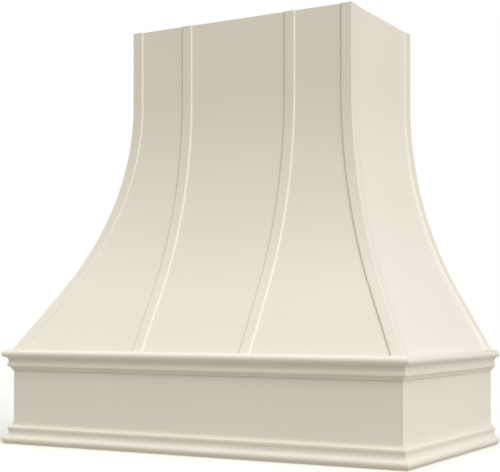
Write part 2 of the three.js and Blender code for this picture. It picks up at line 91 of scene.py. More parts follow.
# An arc of radius R drops R sin(lean) and reaches R (1 - cos(lean)). The straight foot covers the
# rest of both at the lean, and this equation solved for R gives the radius.
flare_drop = BEND_TOP - APRON_TOP
flare_reach = FLARE_RUN + FOOT_STAND_OUT
sine, cosine = math.sin(FOOT_LEAN), math.cos(FOOT_LEAN)
BEND_RADIUS = (flare_drop * sine - flare_reach * cosine) / (1 - cosine)
print(f"bend radius {BEND_RADIUS:.4f} m, chimney {CHIMNEY}")

# %% [markdown]
# ## From a face's own measures to the room
#
# The front and the two sides are drawn the same way: a point lies so far along its face, so far
# out and so high. On the front, along runs from the middle; on a side it runs from the wall. The
# two kinds of face meet in the hips, and because both flare by the same amount, each hip stays in
# one upright plane at 45 degrees.

# %% Placing points on a face
def place(face, along, out, height):
    """Front: x = along and y = wall - out. Side: x = out, signed, and y = wall - along."""
    along, out, height = np.broadcast_arrays(along, out, height)
    if face == "front":
        return np.stack([along, WALL_Y - out, height], -1)
    return np.stack([SIDES[face] * out, WALL_Y - along, height], -1)


def hip_along(face, out):
    """Where the hip lies along a face: its place at the chimney plus what the flare has added."""
    return HIP[face] + (out - CHIMNEY[face])


print("the hips start at", {face: round(along, 4) for face, along in HIP.items()})

# %% [markdown]
# A sheet, a board or a moulding ends square or in a mitre. The mitre lies on the hip, so a mitred
# end simply moves each point along by how far out it lies, which is what the saw does. A hair's
# gap on each side keeps the two pieces of a corner apart.

# %% Ends of a piece
MITRE_GAP = 0.04 * MM


def square(at):
    """A square end at a fixed place."""
    return lambda out: np.full_like(out, at)


def mitre(face, side=1, back=MITRE_GAP):
    """A mitred end on the hip, this far short of it."""
    return lambda out: side * (hip_along(face, out) - back)


def run_ends(face, wall_gap=0.0):
    """Mitre to mitre across the front, and wall to mitre along a side."""
    return (mitre(face, -1) if face == "front" else square(wall_gap), mitre(face))


front_end = mitre("front")(APRON_OUT["front"])
print(f"at the apron the front's mitres end {front_end:.4f} m from its middle")


# %% [markdown]
# ## Closed pieces from rings
#
# Nearly every piece is a closed outline carried along a path, so one function can turn a stack of
# equal rings into a mesh: quads between neighbouring rings, and one flat face over each end. The
# signed volume tells whether the rings ran the wrong way round; if so, all faces are turned over.

# %% Mesh from rings
SHARP_TURN = math.radians(40)


def signed_volume(points, quads):
    """A sixth of the sum of the determinants of all triangles; the ends are left out."""
    a, b, c, d = (points[quads[:, k]] for k in range(4))
    first = np.einsum("ij,ij->i", a, np.cross(b, c))
    second = np.einsum("ij,ij->i", a, np.cross(c, d))
    return (first + second).sum() / 6


def ring_quads(ring_count, ring_size):
    """Corner numbers of the quads: ring i, point k joins k + 1, and the same two on ring i + 1."""
    i, k = np.meshgrid(np.arange(ring_count - 1), np.arange(ring_size), indexing="ij")
    following = (k + 1) % ring_size
    here, there = i * ring_size, (i + 1) * ring_size
    corners = [here + k, here + following, there + following, there + k]
    return np.stack(corners, -1).reshape(-1, 4)


def add_mesh(name, points, faces, materials, face_material, grain=None):
    """A mesh object at the origin with smooth faces, sharp where two faces turn a long way."""
    mesh = bpy.data.meshes.new(name)
    mesh.from_pydata(points.tolist(), [], faces)
    mesh.polygons.foreach_set("material_index", np.asarray(face_material, np.int32))
    mesh.polygons.foreach_set("use_smooth", np.ones(len(faces), bool))
    mesh.set_sharp_from_angle(angle=SHARP_TURN)
    if grain is not None:
        attribute = mesh.attributes.new("grain", "FLOAT_VECTOR", "POINT")
        attribute.data.foreach_set("vector", np.ascontiguousarray(grain, np.float32).ravel())
    for material in materials:
        mesh.materials.append(material)
    mesh.update()
    piece = bpy.data.objects.new(name, mesh)
    bpy.context.scene.collection.objects.link(piece)
    return piece


def closed_piece(name, rings, materials, side_material=0, end_material=0, grain=None):
    """Rings of shape (rows, ring, 3) as one closed piece; side_material may differ by edge."""
    rows, size, _ = rings.shape
    points = rings.reshape(-1, 3)
    quads = ring_quads(rows, size)
    first, last = np.arange(size)[::-1], np.arange(size) + (rows - 1) * size
    if signed_volume(points - points.mean(0), quads) < 0:
        quads, first, last = quads[:, ::-1], first[::-1], last[::-1]
    faces = quads.tolist() + [first.tolist(), last.tolist()]
    sides = np.broadcast_to(side_material, (rows - 1, size)).ravel()
    face_material = np.append(sides, [end_material, end_material])
    flat_grain = None if grain is None else grain.reshape(-1, 3)
    return add_mesh(name, points, faces, materials, face_material, flat_grain)


print("three rings of four points give", len(ring_quads(3, 4)), "quads")

# %% [markdown]
# A new piece rides on the cover's only body, hides the node it stands for, and is measured
# against it, so that a slip in the sums shows at once as a number of millimetres.

# %% Seating a piece on its node
def seat(piece, slot_name, *nodes):
    """Rides, replaces the nodes, and prints the widest gap of the boxes; slot_name is not used."""
    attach(piece, "root")
    low = np.min([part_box(node)[0] for node in nodes], 0)
    high = np.max([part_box(node)[1] for node in nodes], 0)
    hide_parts(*nodes)
    box = np.array([piece.matrix_world @ v.co for v in piece.data.vertices])
    apart = max(np.abs(box.min(0) - low).max(), np.abs(box.max(0) - high).max()) / MM
    print(f"{piece.name}: {len(piece.data.polygons)} faces, {apart:.2f} mm from its node's box")


# %% [markdown]
# ## Outlines with eased corners
#
# Nothing that has been sanded and painted keeps a knife edge. An eased corner is a short arc that
# touches both edges; a pair of holding points beside it keeps the flats flat in the shading,
# because smooth normals are only averaged between neighbouring points. A Bevel modifier could
# round the finished mesh, but rounding the outline first keeps the rings equal and the mitres
# exact.

# %% Easing corners
HOLD = 0.15 * MM


def eased_outline(corners, radii, segments=6):
    """Each corner becomes an arc; its centre is radius / sin(half the angle) up the bisector."""
    corners = np.asarray(corners, float)
    back = np.roll(corners, 1, 0) - corners
    ahead = np.roll(corners, -1, 0) - corners
    back /= np.linalg.norm(back, axis=1, keepdims=True)
    ahead /= np.linalg.norm(ahead, axis=1, keepdims=True)
    parts = []
    for corner, a, b, radius in zip(corners, back, ahead, radii, strict=True):
        if radius == 0:
            parts.append(corner[None])
            continue
        half = math.acos(float(np.clip(a @ b, -1, 1))) / 2
        middle = (a + b) / np.linalg.norm(a + b)
        centre = corner + middle * radius / math.sin(half)
        touch = radius / math.tan(half)
        start, end = corner + a * touch - centre, corner + b * touch - centre
        sweep = math.pi - 2 * half
        share = np.linspace(0, 1, segments + 1)[:, None]
        turned = np.sin((1 - share) * sweep) * start + np.sin(share * sweep) * end
        hold_back, hold_ahead = corner + a * (touch + HOLD), corner + b * (touch + HOLD)
        parts.append(np.vstack([hold_back, centre + turned / math.sin(sweep), hold_ahead]))
    return np.vstack(parts)


eased_square = eased_outline([(0, 0), (1, 0), (1, 1), (0, 1)], [0.1] * 4)
print("a square with its corners eased has", len(eased_square), "points")

# %% [markdown]
# ## The flare
#
# One line down the cover is plumb, then follows an arc, then runs straight to the apron. A layer
# that lies deeper keeps the same centre, so its arc has a larger radius, and the layers stay
# parallel like the plies of a bent sheet. Rows close to the ends of the bend hold the straight
# parts straight.

# %% Lines down the flare
BEND_ROWS = 49
ROW_ABOVE_BEND = 1 * MM
ROW_ABOVE_APRON = 2 * MM


def flare_lines(depth, top=TOP, foot=APRON_TOP):
    """For a depth d: out = R - (R + d) cos a, up = bend top - (R + d) sin a, then straight."""
    depth = np.asarray(depth, float)[None, :]
    radius = BEND_RADIUS + depth
    angle = np.linspace(0, FOOT_LEAN, BEND_ROWS)[:, None]
    bend_out = BEND_RADIUS - radius * np.cos(angle)
    bend_up = BEND_TOP - radius * np.sin(angle)
    plumb_up = np.array([[top], [BEND_TOP + ROW_ABOVE_BEND]]) * np.ones_like(depth)
    foot_up = np.array([[APRON_TOP + ROW_ABOVE_APRON], [foot]]) * np.ones_like(depth)
    foot_out = bend_out[-1] + (bend_up[-1] - foot_up) * math.tan(FOOT_LEAN)
    out = np.vstack([-depth, -depth, bend_out, foot_out])
    return out, np.vstack([plumb_up, bend_up, foot_up])


def distance_down(out, up):
    """Length measured down the flare from its top: the running sum of the steps between rows."""
    steps = np.hypot(np.diff(out, axis=0), np.diff(up, axis=0))
    return np.vstack([np.zeros_like(out[:1]), np.cumsum(steps, 0)])


flat_length = distance_down(*flare_lines([STRAP_THICKNESS]))[-1, 0]
print(f"laid flat, a skin is {flat_length:.3f} m long")

# %% [markdown]
# ## Shader groups
#
# Paint, poplar and plywood each have an effect that more than one finish uses. Such an effect is
# a node group with named inputs, built once. A group gives only values that change over the
# surface; what is the same everywhere is set on the shader itself. A few small helpers come
# first, so that a formula in nodes reads nearly like a formula in numbers.

# %% Small helpers for node trees
def fill(tree, socket, value):
    """Links another node's socket, or sets a plain value on the socket itself."""
    if isinstance(value, bpy.types.NodeSocket):
        tree.links.new(value, socket)
    else:
        socket.default_value = value


def add_node(tree, kind, settings=None, numbered=None, **named):
    """Adds a node, sets its properties, and fills its inputs by number or by name."""
    node = tree.nodes.new(kind)
    for key, value in (settings or {}).items():
        setattr(node, key, value)
    for key, value in {**(numbered or {}), **named}.items():
        fill(tree, node.inputs[key], value)
    return node


def calculator(tree):
    """A short way to write this tree's Math nodes: do("ADD", first, second)."""

    def do(operation, first, second=0.0):
        settings = {"operation": operation}
        return add_node(tree, "ShaderNodeMath", settings, {0: first, 1: second}).outputs[0]

    return do


def noise(tree, vector, scale, detail=2.0, roughness=0.5):
    """Fractal noise between 0 and 1."""
    named = {"Vector": vector, "Scale": scale, "Detail": detail, "Roughness": roughness}
    return add_node(tree, "ShaderNodeTexNoise", **named).outputs[0]


def drawn_noise(tree, vector, by, **named):
    """Noise on a vector multiplied axis by axis: a small factor draws it out along that axis."""
    settings = {"operation": "MULTIPLY"}
    place_on = add_node(tree, "ShaderNodeVectorMath", settings, {0: vector, 1: by}).outputs[0]
    return noise(tree, place_on, 1.0, **named)


def ramp(tree, value, low, high, out_low=0.0, out_high=1.0):
    """Maps low..high to out_low..out_high and keeps within them."""
    numbered = dict(enumerate((value, low, high, out_low, out_high)))
    return add_node(tree, "ShaderNodeMapRange", {"clamp": True}, numbered).outputs[0]


def mix_value(tree, factor, first, second):
    """Linear mix of two values."""
    numbered = {0: factor, 2: first, 3: second}
    return add_node(tree, "ShaderNodeMix", {"data_type": "FLOAT"}, numbered).outputs[0]


def mix_colour(tree, factor, first, second, blend="MIX"):
    """Mix of two colours, each a socket or a tuple of linear red, green, blue and alpha."""
    settings = {"data_type": "RGBA", "blend_type": blend}
    return add_node(tree, "ShaderNodeMix", settings, {0: factor, 6: first, 7: second}).outputs[2]


# %% Opening and closing a group
def new_group(name, inputs, outputs):
    """An empty shader group with a Vector, float inputs (name: default) and float outputs."""
    group = bpy.data.node_groups.new(name, "ShaderNodeTree")
    group.interface.new_socket(name="Vector", in_out="INPUT", socket_type="NodeSocketVector")
    for label, value in inputs.items():
        made = group.interface.new_socket(
            name=label, in_out="INPUT", socket_type="NodeSocketFloat"
        )
        made.default_value = value
    for label in outputs:
        group.interface.new_socket(name=label, in_out="OUTPUT", socket_type="NodeSocketFloat")
    return group, group.nodes.new("NodeGroupInput").outputs


def put_out(group, **values):
    """Sends each value to the group's output of that name, and prints how large the group is."""
    leave = group.nodes.new("NodeGroupOutput").inputs
    for label, value in values.items():
        group.links.new(value, leave[label])
    print(f"group {group.name}: {len(group.nodes)} nodes")
    return group


# %% [markdown]
# ### Sprayed paint
#
# Cabinet paint is sprayed in thin coats. Close to, it has orange peel: shallow dimples one to two
# millimetres across. On a wide board there is also a slow waviness where the coats overlap, which
# shows as a faint change of gloss and tone, and here and there a speck of dust. The dimples could
# be modelled, but they are a hundredth of a millimetre deep, so a bump map is the honest way.

# %% Group: sprayed paint
PEEL_SCALE = 520.0
WAVE_SCALE = 9.0
WAVE_HEIGHT = 1.4
SPECK = {"scale": 3.1 * PEEL_SCALE, "from": 0.72, "full": 0.8, "dark": 0.25}


def sprayed_paint_group():
    """Tone and gloss drift slowly over the board; the height is fine peel plus a long low wave."""
    inputs = {"Peel": 1.0, "Drift": 1.0, "Speck": 1.0}
    group, given = new_group("sprayed_paint", inputs, ("Tone", "Gloss", "Height"))
    do, here = calculator(group), given["Vector"]
    peel = noise(group, here, PEEL_SCALE, detail=1.5, roughness=0.45)
    wave = noise(group, here, WAVE_SCALE)
    slow = noise(group, here, WAVE_SCALE / 3, detail=1.0, roughness=0.4)
    dust = noise(group, here, SPECK["scale"], detail=0.0)
    speck = ramp(group, dust, SPECK["from"], SPECK["full"])
    drift = do("MULTIPLY", do("SUBTRACT", slow, 0.5), given["Drift"])
    darker = do("MULTIPLY", do("MULTIPLY", speck, given["Speck"]), SPECK["dark"])
    tone = do("ADD", 0.5, do("SUBTRACT", drift, darker))
    gloss = do("ADD", 0.5, do("MULTIPLY", do("SUBTRACT", wave, 0.5), given["Drift"]))
    dimples = do("MULTIPLY", peel, given["Peel"])
    height = do("ADD", dimples, do("MULTIPLY", wave, WAVE_HEIGHT))
    return put_out(group, Tone=tone, Gloss=gloss, Height=height)


SPRAYED_PAINT = sprayed_paint_group()

# %% [markdown]
# ### Sawn and planed wood
#
# A plank is cut out of a tree's rings, so its grain is best made as a solid: the distance from a
# far pith, bent by slow noise, gives the ring lines, and noise drawn out along the board gives
# the fibres. The pieces carry a "grain" attribute, the point's place in the board's own length,
# width and thickness, so the same solid grain runs the right way on a rail, a ledger or a turned
# block.

# %% Group: plank grain
BEND_OF_RINGS = {"stretch": (2.2, 9.0, 9.0), "reach": 0.06}
LATE_WOOD = {"power": 4.0, "ends_from": 0.93, "groove": 0.4}
FIBRE_STRETCH = (14.0, 900.0, 900.0)
FIGURE_STRETCH = (3.0, 30.0, 30.0)


def plank_grain_group():
    """Rings: the bent distance from the pith, counted and sharpened. Fibres: long noise."""
    inputs = {"Rings": 210.0, "Pith": 0.09, "Fibres": 1.0}
    group, given = new_group("plank_grain", inputs, ("Rings", "Fibres", "Height", "Figure"))
    do, here = calculator(group), given["Vector"]
    split = add_node(group, "ShaderNodeSeparateXYZ", Vector=here)
    bent = drawn_noise(group, here, BEND_OF_RINGS["stretch"])
    bend = do("MULTIPLY", do("SUBTRACT", bent, 0.5), BEND_OF_RINGS["reach"])
    off = do("ADD", split.outputs[1], bend)
    deep = do("ADD", split.outputs[2], given["Pith"])
    away = do("SQRT", do("ADD", do("POWER", off, 2.0), do("POWER", deep, 2.0)))
    phase = do("FRACT", do("MULTIPLY", away, given["Rings"]))
    soft_end = ramp(group, phase, LATE_WOOD["ends_from"], 1.0, 1.0, 0.0)
    rings = do("MULTIPLY", do("POWER", phase, LATE_WOOD["power"]), soft_end)
    fibre = drawn_noise(group, here, FIBRE_STRETCH, detail=3.0, roughness=0.65)
    fibres = do("MULTIPLY", fibre, given["Fibres"])
    figure = drawn_noise(group, here, FIGURE_STRETCH, roughness=0.55)
    height = do("SUBTRACT", fibres, do("MULTIPLY", rings, LATE_WOOD["groove"]))
    return put_out(group, Rings=rings, Fibres=fibres, Figure=figure, Height=height)


PLANK_GRAIN = plank_grain_group()

# %% [markdown]
# ### Plywood
#
# Plywood is veneers glued with their grain crossed. On a face only the outer veneer shows, with
# its peeled figure of wide cathedral curves. On a cut edge the veneers show one by one, long
# grain and end grain in turn, with a thin dark glue line between them. All of that follows from
# the place across the thickness, so it can be one solid pattern too. Layers are counted from the
# sheet's middle; a face must not fall on a glue line, which is why each sheet gets its own veneer
# thickness.

# %% Group: plywood layers
LAYERS = {"middle": 100.5, "wander": 0.12, "wander_scale": 45.0}
GLUE = {"from": 0.44, "full": 0.49, "groove": 0.8}
LONG_GRAIN_STRETCH = (10.0, 520.0, 900.0)
END_GRAIN_STRETCH = (900.0, 30.0, 1400.0)
PEELED = {"stretch": (1.6, 7.0, 7.0), "lines": 16.0, "power": 3.0}


def plywood_group():
    """Layer number = place across the thickness / the ply's thickness; odd ones are crossed."""
    outputs = ("Across", "Glue", "Grain", "Figure", "Height")
    group, given = new_group("plywood_layers", {"Ply": 0.0014, "Figure": 1.0}, outputs)
    do, here = calculator(group), given["Vector"]
    split = add_node(group, "ShaderNodeSeparateXYZ", Vector=here)
    uneven = noise(group, here, LAYERS["wander_scale"], detail=1.0)
    wander = do("MULTIPLY", do("SUBTRACT", uneven, 0.5), LAYERS["wander"])
    counted = do("DIVIDE", split.outputs[2], given["Ply"])
    layer = do("ADD", counted, do("ADD", LAYERS["middle"], wander))
    half_if_odd = do("FRACT", do("MULTIPLY", do("FLOOR", layer), 0.5))
    across = do("GREATER_THAN", half_if_odd, 0.25)
    from_middle = do("ABSOLUTE", do("SUBTRACT", do("FRACT", layer), 0.5))
    glue = ramp(group, from_middle, GLUE["from"], GLUE["full"])
    long_fibre = drawn_noise(group, here, LONG_GRAIN_STRETCH, detail=3.0, roughness=0.6)
    end_fibre = drawn_noise(group, here, END_GRAIN_STRETCH, roughness=0.7)
    grain = mix_value(group, across, long_fibre, end_fibre)
    swirl = drawn_noise(group, here, PEELED["stretch"], detail=1.5, roughness=0.45)
    lines = do("FRACT", do("MULTIPLY", swirl, PEELED["lines"]))
    figure = do("MULTIPLY", do("POWER", lines, PEELED["power"]), given["Figure"])
    height = do("SUBTRACT", grain, do("MULTIPLY", glue, GLUE["groove"]))
    return put_out(group, Across=across, Glue=glue, Grain=grain, Figure=figure, Height=height)


PLYWOOD = plywood_group()

# %% [markdown]
# ## Finishes
#
# Each finish is a Principled shader with its own colours and steady values, fed by the groups. A
# paint can or a piece of veneer is matched on a screen, so colours are given as the screen
# shows them and turned into linear light.

# %% Building a finish
def linear(red, green, blue):
    """Colour values as seen on a screen (0 to 255) turned into linear light."""
    share = np.array([red, green, blue]) / 255
    light = np.where(share <= 0.04045, share / 12.92, ((share + 0.055) / 1.055) ** 2.4)
    return (*light.tolist(), 1.0)


def new_finish(name):
    """An empty material with one Principled shader, and its node tree."""
    material = bpy.data.materials.new(name)
    material.use_nodes = True
    return material, material.node_tree


def place_group(tree, group, vector, **values):
    """Puts a node group in a tree and returns its outputs."""
    node = tree.nodes.new("ShaderNodeGroup")
    node.node_tree = group
    for label, value in {"Vector": vector, **values}.items():
        fill(tree, node.inputs[label], value)
    return node.outputs


def bump(tree, height, distance):
    """The normal that a height gives the surface."""
    return add_node(tree, "ShaderNodeBump", Height=height, Distance=distance).outputs["Normal"]


def dress(material, **values):
    """Fills the shader's own sockets: a steady value is set there, a node's output is linked."""
    tree = material.node_tree
    inputs = tree.nodes["Principled BSDF"].inputs
    for label, value in values.items():
        fill(tree, inputs[label.replace("_", " ")], value)
    print(f"finish {material.name}: {len(tree.nodes)} nodes")
    return material


print(f"a screen's middle grey is {linear(128, 128, 128)[0]:.3f} in linear light")


# %% Where a pattern reads its place
def object_place(tree):
    """The point's place in the piece's own coordinates, in metres."""
    return tree.nodes.new("ShaderNodeTexCoord").outputs["Object"]


def mapped_place(tree, **settings):
    """Object coordinates moved or turned by a Mapping node."""
    return add_node(tree, "ShaderNodeMapping", Vector=object_place(tree), **settings).outputs[0]


def board_place(tree):
    """The point's place in its board: length, width and thickness, carried by the mesh."""
    return add_node(tree, "ShaderNodeAttribute", {"attribute_name": "grain"}).outputs["Vector"]


# %% [markdown]
# The paint is a warm off-white in satin: bright enough to look cream in the light, and with just
# enough gloss for the mouldings to show a soft edge. One material could serve, but narrow trim is
# sprayed wetter than a wide board and lays down smoother, so there are two with one recipe.

# %% Finish: satin paint
SATIN = {"IOR": 1.46, "Specular_IOR_Level": 0.5}
PAINT_LIGHT = linear(240, 234, 220)
PAINT_DEEP = linear(236, 229, 214)
PAINT_SPREAD = 0.04
PEEL_DEPTH = 0.012 * MM
MOST_OF_NOISE = (0.2, 0.8)


def satin_paint(name, peel, drift, roughness):
    """Two close creams mixed by the coat's slow drift; roughness drifts about its middle."""
    material, tree = new_finish(name)
    coat = place_group(tree, SPRAYED_PAINT, object_place(tree), Peel=peel, Drift=drift, Speck=1.0)
    colour = mix_colour(tree, coat["Tone"], PAINT_DEEP, PAINT_LIGHT)
    spread = (roughness - PAINT_SPREAD, roughness + PAINT_SPREAD)
    uneven = ramp(tree, coat["Gloss"], *MOST_OF_NOISE, *spread)
    normal = bump(tree, coat["Height"], PEEL_DEPTH)
    return dress(material, Base_Color=colour, Roughness=uneven, Normal=normal, **SATIN)


PAINT_WIDE = satin_paint("paint_wide", peel=1.0, drift=1.0, roughness=0.42)
PAINT_TRIM = satin_paint("paint_trim", peel=0.7, drift=0.6, roughness=0.32)

# %% [markdown]
# The rails, ledgers and blocks are poplar, the usual hidden wood behind painted work: pale, a
# little green in its late rings, planed and left bare. Boards from nearer the heart are greener
# still.

# %% Finish: poplar
BARE_WOOD = {"IOR": 1.45, "Specular_IOR_Level": 0.35}
SAPWOOD = linear(226, 203, 160)
FLECKS = linear(212, 190, 144)
DARK_FIBRES = linear(176, 148, 104)
LATE_SAPWOOD = linear(190, 164, 116)
LATE_HEARTWOOD = linear(176, 164, 116)
# Where a pattern starts and is full, and how little and how much of its colour is mixed in.
POPLAR_MIX = {"figure": (0.3, 0.75, 0.0, 1.0), "fibres": (0.35, 0.8, 0.0, 0.35), "rings": 0.8}
POPLAR_FUZZ = 0.08 * MM
POPLAR_ROUGHNESS = (0.62, 0.78)


def poplar(name, vector_of, pith, late_wood):
    """Pale sapwood, greenish late rings and short dark flecks of figure."""
    material, tree = new_finish(name)
    wood = place_group(tree, PLANK_GRAIN, vector_of(tree), Pith=pith)
    flecks = ramp(tree, wood["Figure"], *POPLAR_MIX["figure"])
    body = mix_colour(tree, flecks, SAPWOOD, FLECKS)
    late = calculator(tree)("MULTIPLY", wood["Rings"], POPLAR_MIX["rings"])
    ringed = mix_colour(tree, late, body, late_wood)
    fibres = ramp(tree, wood["Fibres"], *POPLAR_MIX["fibres"])
    colour = mix_colour(tree, fibres, ringed, DARK_FIBRES)
    roughness = ramp(tree, wood["Fibres"], *MOST_OF_NOISE, *POPLAR_ROUGHNESS)
    normal = bump(tree, wood["Height"], POPLAR_FUZZ)
    return dress(material, Base_Color=colour, Roughness=roughness, Normal=normal, **BARE_WOOD)


POPLAR = poplar("poplar_planed", board_place, pith=0.09, late_wood=LATE_SAPWOOD)
POPLAR_HEART = poplar("poplar_heartwood", board_place, pith=0.05, late_wood=LATE_HEARTWOOD)
POPLAR_TOP = poplar("poplar_top_rail", object_place, pith=0.12, late_wood=LATE_SAPWOOD)

# %% [markdown]
# Ribs and liner are birch plywood, the skins are bending plywood of a redder wood with thick soft
# plies. Both come from one recipe. The skins' layers are counted so that the bare inner face lies
# well inside a ply.

# %% Finish: plywood
PLYWOOD_MIX = {"grain": (0.3, 0.8, 0.0, 0.4), "figure": 0.4}
VENEER_FUZZ = 0.06 * MM
VENEER_ROUGHNESS = (0.6, 0.75)


def plywood(name, vector_of, ply, figure, face_colour, cross_colour, glue_colour):
    """Face veneer with its peeled figure; darker end grain on cut edges; thin dark glue lines."""
    material, tree = new_finish(name)
    sheet = place_group(tree, PLYWOOD, vector_of(tree), Ply=ply, Figure=figure)
    veneer = mix_colour(tree, sheet["Across"], face_colour, cross_colour)
    grain = ramp(tree, sheet["Grain"], *PLYWOOD_MIX["grain"])
    grained = mix_colour(tree, grain, veneer, cross_colour)
    curves = calculator(tree)("MULTIPLY", sheet["Figure"], PLYWOOD_MIX["figure"])
    figured = mix_colour(tree, curves, grained, cross_colour)
    colour = mix_colour(tree, sheet["Glue"], figured, glue_colour)
    roughness = ramp(tree, sheet["Grain"], *MOST_OF_NOISE, *VENEER_ROUGHNESS)
    normal = bump(tree, sheet["Height"], VENEER_FUZZ)
    return dress(material, Base_Color=colour, Roughness=roughness, Normal=normal, **BARE_WOOD)


def liner_place(tree):
    """Object coordinates, lowered so that the liner's middle layer lies at height zero."""
    low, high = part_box("liner_panel")
    return mapped_place(tree, Location=(0, 0, -(low.z + high.z) / 2))


BIRCH = {
    "figure": 1.0,
    "face_colour": linear(222, 193, 148),
    "cross_colour": linear(186, 148, 100),
    "glue_colour": linear(104, 74, 46),
}
REDWOOD_VENEER = {
    "figure": 0.8,
    "face_colour": linear(206, 166, 124),
    "cross_colour": linear(168, 124, 86),
    "glue_colour": linear(110, 76, 50),
}
BENDING_VENEER = 2.3 * MM
RIB_PLY = plywood("birch_rib", board_place, ply=1.45 * MM, **BIRCH)
LINER_PLY = plywood("birch_liner", liner_place, ply=1.48 * MM, **BIRCH)
BENDING_PLY = plywood("bending_ply", board_place, ply=BENDING_VENEER, **REDWOOD_VENEER)

# %% [markdown]
# The screws are steel with a thin zinc plating, which is bright, a little yellow in places, and
# marked by fine turning lines. A plain metal shader with uneven roughness is enough at their
# size.

# %% Finish: zinc-plated steel
ZINC_BRIGHT = linear(206, 208, 210)
ZINC_YELLOW = linear(196, 190, 172)
BLOOM = {"scale": 260.0, "range": (0.35, 0.7)}
TURNING = {"stretch": (400.0, 400.0, 3000.0), "range": (0.3, 0.7), "depth": 0.01 * MM}
ZINC_ROUGHNESS = (0.26, 0.42)


def zinc_plate(name):
    """Metal with fine turning marks in its roughness and a faint yellow bloom."""
    material, tree = new_finish(name)
    here = object_place(tree)
    cloudy = noise(tree, here, BLOOM["scale"], detail=3.0, roughness=0.6)
    bloom = ramp(tree, cloudy, *BLOOM["range"])
    colour = mix_colour(tree, bloom, ZINC_BRIGHT, ZINC_YELLOW)
    scratch = drawn_noise(tree, here, TURNING["stretch"], roughness=0.6)
    roughness = ramp(tree, scratch, *TURNING["range"], *ZINC_ROUGHNESS)
    normal = bump(tree, scratch, TURNING["depth"])
    return dress(material, Base_Color=colour, Roughness=roughness, Normal=normal, Metallic=1.0)


ZINC = zinc_plate("zinc_plate")

# %% [markdown]
# ## The skins
#
# Three sheets of bending plywood wrap the frame, painted outside and bare inside. Each is one
# sheet carried down the flare, and its ends lie in the mitre planes of the hips. Solidify could
# thicken a single surface, but here the two faces are known exactly, so both are computed.

# %% Skins
SKIN_OUTER = STRAP_THICKNESS
SKIN_INNER = STRAP_THICKNESS + SKIN_THICKNESS


def skin(face):
    """Four corners on each row: outer face start and end, inner face end and start."""
    depths = np.array([SKIN_OUTER, SKIN_OUTER, SKIN_INNER, SKIN_INNER])
    out, up = flare_lines(depths)
    reach = CHIMNEY[face] + out
    start, end = (end_at(reach) for end_at in run_ends(face))
    along = np.stack([start[:, 0], end[:, 1], end[:, 2], start[:, 3]], 1)
    rings = place(face, along, reach, up)
    within = np.broadcast_to(depths - SKIN_OUTER - SKIN_THICKNESS / 2 + BENDING_VENEER, out.shape)
    grain = np.stack([along, distance_down(out, up), within], -1)
    paint_outside = np.array([0, 1, 1, 1])
    finishes = [PAINT_WIDE, BENDING_PLY]
    return closed_piece(f"painted_skin_{face}", rings, finishes, paint_outside, 1, grain)


for face in FACES:
    seat(skin(face), "satin_paint", f"skin_{face}")

# %% [markdown]
# ## The straps
#
# Thin battens with well rounded edges lie on the skins. Where a strap meets the skin, the paint
# draws a tiny fillet into the corner. At a hip two straps meet in a mitre that is left nearly
# sharp, and its small arris runs over both, so each carries one half of the quarter round. A
# strap is its cross-section, moved down the flare.

# %% Strap sections
EDGE_ROUND = {"across": 4.0 * MM, "deep": 2.3 * MM, "points": 9}
HIP_ARRIS = {"radius": 0.9 * MM, "points": 7}
PAINT_FILLET = 0.5 * MM
FILLET_SHARE = 0.98
BEDDED = 0.02 * MM
STRAP_FOOT = STRAP_THICKNESS + BEDDED


def plain_edge(across, inward):
    """The flat, a quarter ellipse, the foot and its fillet, as (across, depth) and radii."""
    angle = np.linspace(0, math.pi / 2, EDGE_ROUND["points"])
    over = across + inward * EDGE_ROUND["across"] * (1 - np.sin(angle))
    down = EDGE_ROUND["deep"] * (1 - np.cos(angle))
    toe = across - inward * PAINT_FILLET
    corners = [
        [over[0] + inward * HOLD, 0.0],
        *np.stack([over, down], 1).tolist(),
        [across, EDGE_ROUND["deep"] + HOLD],
        [across, STRAP_THICKNESS],
        [toe, STRAP_THICKNESS],
        [toe, STRAP_FOOT],
    ]
    radii = [0.0] * (len(corners) - 3) + [FILLET_SHARE * PAINT_FILLET, 0.0, 0.0]
    return corners, radii


def plain_section(width):
    """A strap with two free edges, measured across from one of them."""
    near, near_radii = plain_edge(0.0, 1)
    far, far_radii = plain_edge(width, -1)
    return eased_outline(near[::-1] + far, near_radii[::-1] + far_radii)


def wall_section(width):
    """A strap with a square edge at the wall and a free edge at the width."""
    far, far_radii = plain_edge(width, -1)
    return eased_outline([(0.0, STRAP_FOOT), (0.0, 0.0)] + far, [0.0, 0.0] + far_radii)


def hip_section(width):
    """A strap with one free edge; the other ends in the hip's mitre, where across equals depth."""
    share = np.linspace(0, 1, HIP_ARRIS["points"])[:, None]
    angle = math.pi / 4 * (1 - share)
    arris = HIP_ARRIS["radius"] * np.hstack([1 - np.sin(angle), 1 - np.cos(angle)])
    hold = [[HIP_ARRIS["radius"] + HOLD, 0.0]]
    far, far_radii = plain_edge(width, -1)
    middle = ((arris[-1] + np.array(far[0])) / 2).tolist()
    free = eased_outline([middle] + far, [0.0] + far_radii)
    return np.vstack([[[STRAP_FOOT, STRAP_FOOT]], arris, hold, free[1:]])


print(len(plain_section(FRONT_STRAP_WIDTH)), "points round a strap with two free edges")

# %% [markdown]
# Down the hip the mitre must stay in its plane while the free edge stays parallel to the hip, so
# the distance from the edge is blended: points at the mitre follow their own depth, and points at
# the free edge follow the face of the strap.

# %% Straps
def strap(name, face, section, along_of, side=1):
    """Each point (across, depth) goes down the flare; along_of places it along the face."""
    across, depth = section[:, 0], section[:, 1]
    out, up = flare_lines(depth)
    face_out = flare_lines(np.zeros_like(depth))[0]
    along = side * along_of(CHIMNEY[face] + face_out, across, depth, out - face_out)
    return closed_piece(name, place(face, along, CHIMNEY[face] + out, up), [PAINT_TRIM])


